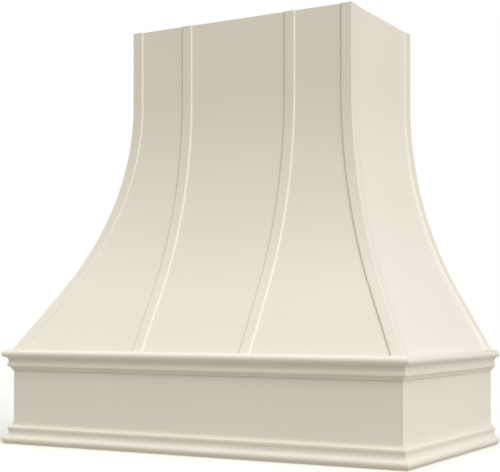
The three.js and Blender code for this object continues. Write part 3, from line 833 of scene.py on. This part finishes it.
def hip_strap(name, face, width, side=1):
    """The weight is 1 on the mitre and 0 at the free edge."""

    def along_of(face_reach, across, depth, sunk):
        weight = np.clip(1 - (across - depth) / width, 0, 1)
        edge = np.maximum(across, depth + MITRE_GAP)
        return hip_along(face, face_reach) - edge + weight * (depth + sunk)

    return strap(name, face, hip_section(width), along_of, side)


def upright_strap(name, face, section, start, side=1):
    """A strap whose two edges both stay at the same place along the face."""

    def along_of(face_reach, across, *_):
        return np.broadcast_to(start + across, face_reach.shape)

    return strap(name, face, section, along_of, side)


start = MIDDLE_STRAP_PLACE - FRONT_STRAP_WIDTH / 2
for hand, side in SIDES.items():
    made = hip_strap(f"corner_strap_{hand}", "front", FRONT_STRAP_WIDTH, side)
    seat(made, "satin_paint", f"strap_front_corner_{hand}")
    section = plain_section(FRONT_STRAP_WIDTH)
    made = upright_strap(f"middle_strap_{hand}", "front", section, start, side)
    seat(made, "satin_paint", f"strap_front_middle_{hand}")
    made = hip_strap(f"side_hip_strap_{hand}", hand, SIDE_STRAP_WIDTH)
    seat(made, "satin_paint", f"strap_side_front_{hand}")
    made = upright_strap(f"wall_strap_{hand}", hand, wall_section(SIDE_STRAP_WIDTH), 0.0)
    seat(made, "satin_paint", f"strap_side_wall_{hand}")

# %% [markdown]
# ## Boards and mouldings
#
# A straight run is one outline of (out, up) points between two ends. Besides its shape it carries
# its own length, width and thickness for the grain; a board on edge has its width upright.

# %% Straight runs
def straight_run(name, face, outline, finishes, ends, sides=0, on_edge=False):
    """Two rings, one at each end; ends is a pair of functions of the distance out."""
    out, up = outline[:, 0], outline[:, 1]
    along = np.stack([end(out) for end in ends])
    width, thick = np.broadcast_to(out, along.shape), np.broadcast_to(up, along.shape)
    if on_edge:
        width, thick = thick, width
    grain = np.stack([along, width - width.mean(), thick - thick.mean()], -1)
    return closed_piece(name, place(face, along, out, up), finishes, sides, grain=grain)


# %% [markdown]
# The apron is three boards, mitred at the front corners. Their outer arris is eased, so the
# corner catches a thin line of light. The easing is done as a joiner does it, on the closed
# mitre: the end of each board is cut back a little more in the last millimetre of its depth.

# %% Apron boards
APRON_EASING = 1.2 * MM
EASING_POINTS = 6


def eased_mitre(face, side=1):
    """Near the outer face the end backs off along a quarter circle, which rounds the arris."""
    outer = CHIMNEY[face] + FLARE_RUN

    def end(out):
        sunk = np.clip(APRON_EASING - (outer - out), 0, APRON_EASING)
        round_off = APRON_EASING - np.sqrt(APRON_EASING**2 - sunk**2)
        return side * (hip_along(face, out) - MITRE_GAP - round_off)

    return end


def apron_board(face):
    """A board's outline with many points near its outer face, where the arris is rounded."""
    outer = CHIMNEY[face] + FLARE_RUN
    angle = np.linspace(0, math.pi / 4, EASING_POINTS)
    near = outer - APRON_EASING * (1 - np.sin(angle))
    levels = np.concatenate([[outer - BOARD_THICKNESS, outer - APRON_EASING - HOLD], near])
    out = np.concatenate([levels, levels[::-1]])
    up = np.repeat([0.0, APRON_TOP], len(levels))
    bare_but_face = np.ones(len(out), int)
    bare_but_face[len(levels) - 1] = 0
    start = eased_mitre(face, -1) if face == "front" else square(0.0)
    return straight_run(
        f"apron_board_{face}",
        face,
        np.stack([out, up], 1),
        [PAINT_WIDE, POPLAR],
        (start, eased_mitre(face)),
        bare_but_face,
        on_edge=True,
    )


for face in FACES:
    seat(apron_board(face), "satin_paint", f"apron_{face}")

# %% [markdown]
# The moulding's profile is a full nosing made of two quarter ellipses, a cove, a flat lip, and a
# small hollow back to a low heel on the board. Paint softens every arris of it. Rather than
# rounding each corner by hand, the outline is sampled every quarter of a millimetre and blurred a
# little, as the wet film does by itself.

# %% Moulding profile
MOULDING_HEIGHT = 44.5 * MM
NOSING_OUT = 19 * MM
NOSING_ABOVE = {"run": 11.5 * MM, "drop": 9.4 * MM}
NOSING_BELOW = {"run": 8 * MM, "drop": 7.1 * MM}
COVE = {"floor": 7.5 * MM, "radius": 11.6 * MM}
LIP = {"out": 9.6 * MM, "thick": 4.4 * MM}
HEEL = {"out": 2.6 * MM, "high": 1.6 * MM}
HOLLOW = 1.6 * MM
HOLLOW_POINTS = 24
ARC_POINTS = 40


def arc(centre, radius, start, end):
    """Points on a circle from one angle to another."""
    angle = np.linspace(start, end, ARC_POINTS)
    return np.stack([centre[0] + radius * np.cos(angle), centre[1] + radius * np.sin(angle)], 1)


def quarter(part, start, end):
    """A quarter ellipse of the nosing about the level where it stands out farthest."""
    middle = np.array([NOSING_OUT - part["run"], NOSING_ABOVE["drop"]])
    return middle + np.array([part["run"], part["drop"]]) * arc((0, 0), 1, start, end)


def moulding_polyline():
    """(out, down) from the nosing's top: two quarter ellipses, a cove, the lip, a small hollow."""
    nose = NOSING_OUT - NOSING_BELOW["run"]
    cove_out = COVE["floor"] + COVE["radius"]
    rise = math.sqrt(COVE["radius"] ** 2 - (cove_out - nose) ** 2)
    fall = math.sqrt(COVE["radius"] ** 2 - (cove_out - LIP["out"]) ** 2)
    middle = NOSING_ABOVE["drop"] + NOSING_BELOW["drop"] + rise
    first = math.atan2(-rise, nose - cove_out)
    last = math.atan2(fall, LIP["out"] - cove_out) - 2 * math.pi
    start = np.array([LIP["out"], middle + fall + LIP["thick"]])
    end = np.array([HEEL["out"], MOULDING_HEIGHT - HEEL["high"]])
    sunk = (start + end) / 2 - HOLLOW
    share = np.linspace(0, 1, HOLLOW_POINTS)[:, None]
    return np.vstack([
        [[0.0, 0.0]],
        quarter(NOSING_ABOVE, -math.pi / 2, 0),
        quarter(NOSING_BELOW, 0, math.pi / 2),
        arc((cove_out, middle), COVE["radius"], first, last),
        (1 - share) ** 2 * start + 2 * share * (1 - share) * sunk + share**2 * end,
        [[HEEL["out"], MOULDING_HEIGHT], [0.0, MOULDING_HEIGHT]],
    ])


SHARP_PROFILE = moulding_polyline()
print(len(SHARP_PROFILE), "points round the profile before it is painted")

# %% The soft film of paint
SAMPLE = 0.25 * MM
FILM_BLUR = 0.32 * MM
FILM_REACH = 6


def film_softened(outline):
    """Even samples along the closed outline, each the bell-weighted mean of its neighbours."""
    closed = np.vstack([outline, outline[:1]])
    steps = np.linalg.norm(np.diff(closed, axis=0), axis=1)
    travelled = np.concatenate([[0], np.cumsum(steps)])
    count = int(travelled[-1] / SAMPLE)
    at = np.arange(count) * travelled[-1] / count
    even = np.stack([np.interp(at, travelled, closed[:, k]) for k in range(2)], 1)
    shifts = np.arange(-FILM_REACH, FILM_REACH + 1)
    weight = np.exp(-0.5 * (shifts * SAMPLE / FILM_BLUR) ** 2)
    weight /= weight.sum()
    return sum(w * np.roll(even, shift, 0) for shift, w in zip(shifts, weight, strict=True))


PROFILE = film_softened(SHARP_PROFILE)
print(f"{len(PROFILE)} points round it painted, {PROFILE[:, 0].max() / MM:.1f} mm out at most")

# %% [markdown]
# The same moulding goes round twice. Upright, its nosing makes a shelf on which the flare lands;
# turned over, it makes the plinth. It is bedded in a thin line of glue.

# %% Mouldings
def moulding(name, face, turned_over):
    """The profile stands against the apron's face; turned over, its nosing lies at the bottom."""
    out = CHIMNEY[face] + FLARE_RUN + GLUE_LINE / 3 + np.clip(PROFILE[:, 0], 0, None)
    up = PROFILE[:, 1] if turned_over else APRON_TOP - PROFILE[:, 1]
    outline = np.stack([out, np.clip(up, 0, APRON_TOP)], 1)
    return straight_run(name, face, outline, [PAINT_TRIM], run_ends(face))


for face in FACES:
    for level, turned_over in (("upper", False), ("lower", True)):
        made = moulding(f"{level}_moulding_{face}", face, turned_over)
        seat(made, "satin_paint", f"moulding_{level}_{face}")

# %% [markdown]
# ## The ribs
#
# Plywood ribs cut to the flare's curve carry the skins. A rib is sawn from a flat sheet, so its
# layers lie across its thickness and its curved edge shows them as stripes. The hip ribs stand on
# the diagonal, where the flare reaches root two times as far.

# %% Ribs
RIB_THICKNESS = 18 * MM
RIB_WIDTH = 64 * MM
HIP_RIB_WIDTH = 89 * MM
FRAME_DEPTH = SKIN_INNER + GLUE_LINE
RAIL_THICKNESS = 19 * MM
RIB_TOP = TOP - RAIL_THICKNESS
EDGE_EASING = 0.5 * MM
ROOT_TWO = math.sqrt(2)


def timber_outline(low_a, high_a, low_b, high_b, segments=3):
    """A board's section with its four arrises broken."""
    corners = [(low_a, low_b), (high_a, low_b), (high_a, high_b), (low_a, high_b)]
    return eased_outline(corners, [EDGE_EASING] * 4, segments)


def rib(name, width, outer, inner, to_world):
    """Outer and inner line give reach and height of each row; to_world places the points."""
    half = RIB_THICKNESS / 2
    section = timber_outline(0, width, -half, half, segments=2)
    share, across = section[:, 0] / width, section[:, 1]
    out, up = (a[:, None] * (1 - share) + b[:, None] * share for a, b in zip(outer, inner))
    side = np.broadcast_to(across, out.shape)
    grain = np.stack([up, out, side], -1)
    return closed_piece(name, to_world(out, side, up), [RIB_PLY], grain=grain)


def flare_band():
    """The outer and the inner line of a rib that follows the skins' inner face."""
    out, up = flare_lines(np.array([FRAME_DEPTH, FRAME_DEPTH + RIB_WIDTH]), top=RIB_TOP)
    return (out[:, 0], up[:, 0]), (out[:, 1], up[:, 1])


def diagonal_band():
    """On the diagonal a level step out is root two times as long; the rib is cut level across."""
    out, up = flare_lines(np.array([FRAME_DEPTH]), top=RIB_TOP)
    outer = ROOT_TWO * out[:, 0] - RIB_THICKNESS / 2
    return (outer, up[:, 0]), (outer - HIP_RIB_WIDTH, up[:, 0])


def diagonal_place(side):
    """Points measured out along the diagonal from the chimney's corner."""

    def to_world(out, across, up):
        x = CHIMNEY["right"] + (out + across) / ROOT_TWO
        y = WALL_Y - CHIMNEY["front"] - (out - across) / ROOT_TWO
        return np.stack([side * x, y, up], -1)

    return to_world


def face_place(face, middle):
    """Points measured out from a face's chimney, about a middle at a place along the face."""
    return lambda out, across, up: place(face, middle + across, CHIMNEY[face] + out, up)


for hand, side in SIDES.items():
    for where, width, band, to_world in (
        ("middle", RIB_WIDTH, flare_band(), face_place("front", side * MIDDLE_STRAP_PLACE)),
        ("wall", RIB_WIDTH, flare_band(), face_place(hand, RIB_THICKNESS / 2)),
        ("hip", HIP_RIB_WIDTH, diagonal_band(), diagonal_place(side)),
    ):
        made = rib(f"{where}_rib_{hand}", width, *band, to_world)
        seat(made, "birch_plywood", f"rib_{where}_{hand}")

# %% [markdown]
# ## Rails, blocking, ledgers and corner blocks
#
# The plain timber is planed poplar with its long edges just broken. All of it is straight, so the
# run function serves again; only the outline's box and the kind of end change.

# %% Base rails and ledgers
BASE_RAIL_BOTTOM = APRON_TOP - RAIL_THICKNESS
BASE_RAIL_WIDTH = 64 * MM
LEDGER_HEIGHT = 38 * MM
LINER_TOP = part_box("liner_panel")[1].z
LEDGER_TOP = LINER_TOP + LEDGER_HEIGHT
APRON_INSIDE = BOARD_THICKNESS + GLUE_LINE
PAST_WALL_RAIL = RAIL_THICKNESS + GLUE_LINE


def board(name, face, box, ends, finish, on_edge=True):
    """A planed board; one that lies flat has its width level, one on edge has it upright."""
    return straight_run(name, face, timber_outline(*box), [finish], ends, on_edge=on_edge)


for face in FACES:
    outer = CHIMNEY[face] + FLARE_RUN - APRON_INSIDE
    box = (outer - BASE_RAIL_WIDTH, outer, BASE_RAIL_BOTTOM, APRON_TOP)
    ends = run_ends(face, PAST_WALL_RAIL)
    made = board(f"base_rail_{face}", face, box, ends, POPLAR, on_edge=False)
    seat(made, "poplar", f"rail_base_{face}")
    box = (outer - RAIL_THICKNESS, outer, LINER_TOP, LEDGER_TOP)
    ends = run_ends(face, 2 * PAST_WALL_RAIL)
    made = board(f"ledger_board_{face}", face, box, ends, POPLAR_HEART)
    seat(made, "poplar", f"ledger_{face}")

# %% [markdown]
# Short blocks between the ribs stand on edge where the bend begins. They back the skins just
# where the sheets are under the most strain, and they end square on a rib or in the hip rib's
# plane.

# %% Blocking between the ribs
BLOCKING_HEIGHT = 38 * MM
BESIDE_HIP = (RIB_THICKNESS + GLUE_LINE) * ROOT_TWO / 2
BESIDE_RIB = RIB_THICKNESS / 2 + GLUE_LINE


def blocking(where, face, *ends):
    """A short board on edge behind the skin, standing on the start of the bend."""
    outer = CHIMNEY[face] - FRAME_DEPTH
    box = (outer - RAIL_THICKNESS, outer, BEND_TOP, BEND_TOP + BLOCKING_HEIGHT)
    made = board(f"block_{where}", face, box, ends, POPLAR)
    node = f"blocking_front_{where}" if where == "middle" else f"blocking_{where}"
    seat(made, "poplar", node)


near_end, far_end = MIDDLE_STRAP_PLACE - BESIDE_RIB, MIDDLE_STRAP_PLACE + BESIDE_RIB
blocking("middle", "front", square(-near_end), square(near_end))
for hand, side in SIDES.items():
    blocking(f"front_{hand}", "front", square(side * far_end), mitre("front", side, BESIDE_HIP))
    at_wall_rib = square(RIB_THICKNESS + GLUE_LINE)
    blocking(f"side_{hand}", hand, at_wall_rib, mitre(hand, 1, BESIDE_HIP))

# %% [markdown]
# At the wall two hanging rails take the screws that hold the whole cover, and a ledger in front
# of the lower one carries the liner. They are plain boards with square ends.

# %% Hanging rails and the wall ledger
HANGING_RAIL_HEIGHT = 89 * MM
upper_half = CHIMNEY["right"] - FRAME_DEPTH - RIB_WIDTH - GLUE_LINE
apron_half = CHIMNEY["right"] + FLARE_RUN - APRON_INSIDE
on_wall = (0.0, RAIL_THICKNESS)
before_rail = (PAST_WALL_RAIL, PAST_WALL_RAIL + RAIL_THICKNESS)
for node, half, box, finish in (
    ("rail_hanging_upper", upper_half, (*on_wall, TOP - HANGING_RAIL_HEIGHT, TOP), POPLAR_HEART),
    ("rail_hanging_lower", apron_half, (*on_wall, LINER_TOP, APRON_TOP), POPLAR),
    ("ledger_wall", apron_half, (*before_rail, LINER_TOP, LEDGER_TOP), POPLAR_HEART),
):
    made = board(f"planed_{node}", "front", box, (square(-half), square(half)), finish)
    seat(made, "poplar", node)

# %% [markdown]
# A glue block is a triangle of wood sawn off a square stick, standing in the corner with its
# grain upright. Its long face is the saw cut.

# %% Corner blocks
CORNER_BLOCK_LEG = 38 * MM


def corner_block(name, corner_x, corner_out, inward_x, inward_out):
    """Three corners in plan, eased, carried straight up from the ledgers to the base rails."""
    plan = [
        (corner_x, corner_out),
        (corner_x + inward_x * CORNER_BLOCK_LEG, corner_out),
        (corner_x, corner_out + inward_out * CORNER_BLOCK_LEG),
    ]
    outline = eased_outline(plan, [EDGE_EASING] * 3, segments=2)
    levels = np.array([[LEDGER_TOP], [BASE_RAIL_BOTTOM]])
    x, out, up = np.broadcast_arrays(outline[:, 0], outline[:, 1], levels)
    grain = np.stack([up, x - corner_x, out - corner_out], -1)
    return closed_piece(name, place("front", x, out, up), [POPLAR_HEART], grain=grain)


front_inside = CHIMNEY["front"] + FLARE_RUN - APRON_INSIDE
for hand, side in SIDES.items():
    for where, out, inward in (("front", front_inside, -1), ("wall", PAST_WALL_RAIL, 1)):
        made = corner_block(f"glue_block_{where}_{hand}", side * apron_half, out, -side, inward)
        seat(made, "poplar", f"corner_block_{where}_{hand}")

# %% [markdown]
# ## Top rails and liner
#
# These four boards are drilled for screws, and their solids already have the countersinks, so the
# nodes stay as they are and only take a finish. Their grain reads the object's own coordinates,
# turned so that a side rail's grain runs from the wall to the front.

# %% Finishes on the drilled boards
def turned_place(tree):
    """Object coordinates turned a quarter round the upright, for boards that run from the wall."""
    return mapped_place(tree, Rotation=(0, 0, math.pi / 2))


POPLAR_SIDE_RAIL = poplar("poplar_side_rail", turned_place, pith=0.12, late_wood=LATE_SAPWOOD)

for node, finish in (
    ("liner_panel", LINER_PLY),
    ("rail_top_front", POPLAR_TOP),
    ("rail_top_right", POPLAR_SIDE_RAIL),
    ("rail_top_left", POPLAR_SIDE_RAIL),
):
    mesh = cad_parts[node].data
    mesh.materials.clear()
    mesh.materials.append(finish)
    print(node, "wears", finish.name)

# %% [markdown]
# ## Screws
#
# A countersunk wood screw shows only its head: a flat disc with a cross recess. The disc is a
# grid of rings and spokes, and the recess is a height worked out over it: near either arm's
# middle line the surface drops, deepest at the centre. The cone and the shank below are a plain
# turned profile.

# %% Screws
SCREW = {"length": 38 * MM, "radius": 2 * MM, "tip": 6 * MM}
HEAD = {"radius": 4 * MM, "depth": 2.6 * MM}
CROSS = {"reach": 2.3 * MM, "half_width": 0.52 * MM, "depth": 1.7 * MM, "wall": 0.16 * MM}
CROSS_TAPER = 0.25
CROSS_SLOPE = 1.6
RIM = {"back": 0.1 * MM, "down": 0.12 * MM}
POINT_RADIUS = 0.05 * MM
HEAD_RINGS = 34
SPOKES = 72


def recess_depth(x, y):
    """Depth of the cross: full along the arms' middle lines, sloping up to their tips."""

    def arm(run, across):
        run = np.abs(run) / CROSS["reach"]
        half = CROSS["half_width"] * (1 - CROSS_TAPER * np.clip(run, 0, 1))
        wall = np.clip((half - np.abs(across)) / CROSS["wall"], 0, 1)
        return wall * np.clip((1 - run) * CROSS_SLOPE, 0, 1)

    return CROSS["depth"] * np.maximum(arm(x, y), arm(y, x))


def screw(name, node, points_down):
    """Rings from the head's middle outwards, down the cone and the shank, to the tip."""
    low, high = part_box(node)
    middle = (low + high) / 2
    head_level, sense = (high.z, 1.0) if points_down else (low.z, -1.0)
    below = np.array([
        (HEAD["radius"], RIM["down"]),
        (SCREW["radius"], HEAD["depth"]),
        (SCREW["radius"], SCREW["length"] - SCREW["tip"]),
        (POINT_RADIUS, SCREW["length"]),
    ])
    head_rings = np.linspace(POINT_RADIUS, HEAD["radius"] - RIM["back"], HEAD_RINGS)
    radius = np.concatenate([head_rings, below[:, 0]])[:, None]
    angle = np.linspace(0, 2 * math.pi, SPOKES, endpoint=False)[None, :]
    x, y = radius * np.cos(angle), radius * np.sin(angle)
    recess = recess_depth(x[:HEAD_RINGS], y[:HEAD_RINGS])
    sunk = np.vstack([recess, np.broadcast_to(below[:, 1:], (len(below), SPOKES))])
    rings = np.stack([middle.x + x, middle.y + y, head_level - sense * sunk], -1)
    return closed_piece(name, rings, [ZINC])


for node in sorted(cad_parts):
    if node.startswith("screw_"):
        seat(screw(f"cross_{node}", node, node.startswith("screw_top")), "zinc_screw", node)

# %% [markdown]
# ## Camera
#
# The camera stands level, a little above the apron's top and 30 degrees to the right of square
# on. The picture is shifted up instead of tilting the camera, which keeps the uprights upright,
# as an architectural photographer would.

# %% Camera
VIEW_TURN = math.radians(29.818)
camera_data = bpy.data.cameras.new("camera")
camera_data.sensor_width = 36.0
camera_data.lens = 83.47
camera_data.shift_y = 0.1671
camera = bpy.data.objects.new("camera", camera_data)
camera.location = (1.2574, -2.1907, 0.2708)
camera.rotation_euler = (math.pi / 2, 0, VIEW_TURN)
bpy.context.scene.collection.objects.link(camera)
bpy.context.scene.camera = camera
print(f"the camera stands {camera.location.length:.2f} m from the middle of the underside")

# %% [markdown]
# ## Floor and light
#
# The cover stands over a plain pale floor. The floor takes the light but neither shades the cover
# nor bounces onto it, and it is clear from below, so that the liner can be looked at.

# %% Floor
FLOOR = {"half": 6.0, "lines": 25, "below": 0.2 * MM, "speck_scale": 30.0}
DULL = {"Roughness": 0.9, "Specular_IOR_Level": 0.1}
FLOOR_TONES = ((0.93, 0.925, 0.86, 1), (0.95, 0.945, 0.88, 1))


def floor_finish():
    """A dull pale surface with a faint speckle, whose back is clear."""
    material, tree = new_finish("studio_floor")
    speck = noise(tree, object_place(tree), FLOOR["speck_scale"])
    colour = mix_colour(tree, speck, *FLOOR_TONES)
    from_below = tree.nodes.new("ShaderNodeNewGeometry").outputs["Backfacing"]
    solid = calculator(tree)("SUBTRACT", 1.0, from_below)
    return dress(material, Base_Color=colour, Alpha=solid, **DULL)


def floor():
    """A wide flat grid just under the cover."""
    lines = FLOOR["lines"]
    reach = np.linspace(-FLOOR["half"], FLOOR["half"], lines)
    x, y = np.meshgrid(reach, reach, indexing="ij")
    points = np.stack([x, y, np.full_like(x, -FLOOR["below"])], -1).reshape(-1, 3)
    i, j = np.meshgrid(np.arange(lines - 1), np.arange(lines - 1), indexing="ij")
    first = i * lines + j
    quads = np.stack([first, first + lines, first + lines + 1, first + 1], -1).reshape(-1, 4)
    made = add_mesh("studio_floor", points, quads.tolist(), [floor_finish()], np.zeros(len(quads)))
    made.visible_diffuse = False
    made.visible_glossy = False
    made.visible_shadow = False


floor()

# %% [markdown]
# The light could come from area lamps, but their hard borders would show in the satin paint. Here
# it is a sky whose brightness depends only on direction. Wide soft lights fade evenly away from
# the right, the right front, the left and overhead. A narrower softbox at the right front draws
# the bright lines along the straps' edges, and a faint light lies behind. Below the horizon an
# even glow stands for the light that a pale floor sends back up.

# %% Light
FLOOR_GLOW = (0.523, 0.497, 0.444)
# Each light: the direction towards it, how narrow it is, and its red, green and blue.
SOFT_LIGHTS = {
    "right": ((0.978, 0.0, 0.208), 2.0, (0.885, 0.905, 1.01)),
    "front_right": ((0.473, -0.473, 0.743), 8.0, (2.49, 2.56, 1.93)),
    "left": ((-0.669, 0.0, 0.743), 8.0, (1.06, 0.992, 0.894)),
    "overhead": ((0.0, 0.0, 1.0), 8.0, (1.8, 1.8, 2.49)),
    "softbox": ((0.785, -0.453, 0.423), 40.0, (2.64, 2.62, 3.65)),
    "behind": ((0.492, 0.853, 0.174), 40.0, (0.4, 0.29, 0.11)),
}
BLACK = (0.0, 0.0, 0.0, 1.0)
BACKDROP = (1.0, 1.0, 1.0, 1.0)


def soft_light(tree, toward, direction, focus):
    """Brightness of one light: the cosine between a direction and the light's own, to a power."""
    unit = np.array(direction) / np.linalg.norm(direction)
    settings = {"operation": "DOT_PRODUCT"}
    dot = add_node(tree, "ShaderNodeVectorMath", settings, {0: toward, 1: tuple(unit)})
    do = calculator(tree)
    return do("POWER", do("MAXIMUM", dot.outputs["Value"], 0.0), focus)


def sky():
    """Above the horizon the soft lights add up; below it there is only the floor's glow."""
    world = bpy.data.worlds.new("studio")
    world.use_nodes = True
    tree = world.node_tree
    tree.nodes.clear()
    toward = tree.nodes.new("ShaderNodeTexCoord").outputs["Generated"]
    total = BLACK
    for direction, focus, colour in SOFT_LIGHTS.values():
        factor = soft_light(tree, toward, direction, focus)
        total = mix_colour(tree, factor, total, (*colour, 1.0), "ADD")
    height = add_node(tree, "ShaderNodeSeparateXYZ", Vector=toward).outputs[2]
    above = calculator(tree)("GREATER_THAN", height, 0.0)
    total = mix_colour(tree, above, (*FLOOR_GLOW, 1.0), total)
    light = add_node(tree, "ShaderNodeBackground", Color=total)
    seen = add_node(tree, "ShaderNodeBackground", Color=BACKDROP)
    is_seen = tree.nodes.new("ShaderNodeLightPath").outputs["Is Camera Ray"]
    numbered = {0: is_seen, 1: light.outputs[0], 2: seen.outputs[0]}
    both = add_node(tree, "ShaderNodeMixShader", None, numbered).outputs[0]
    add_node(tree, "ShaderNodeOutputWorld", Surface=both)
    bpy.context.scene.world = world
    print(len(SOFT_LIGHTS), "soft lights and the floor's glow")


sky()
bpy.context.scene.view_settings.view_transform = "Standard"
bpy.context.scene.view_settings.look = "None"
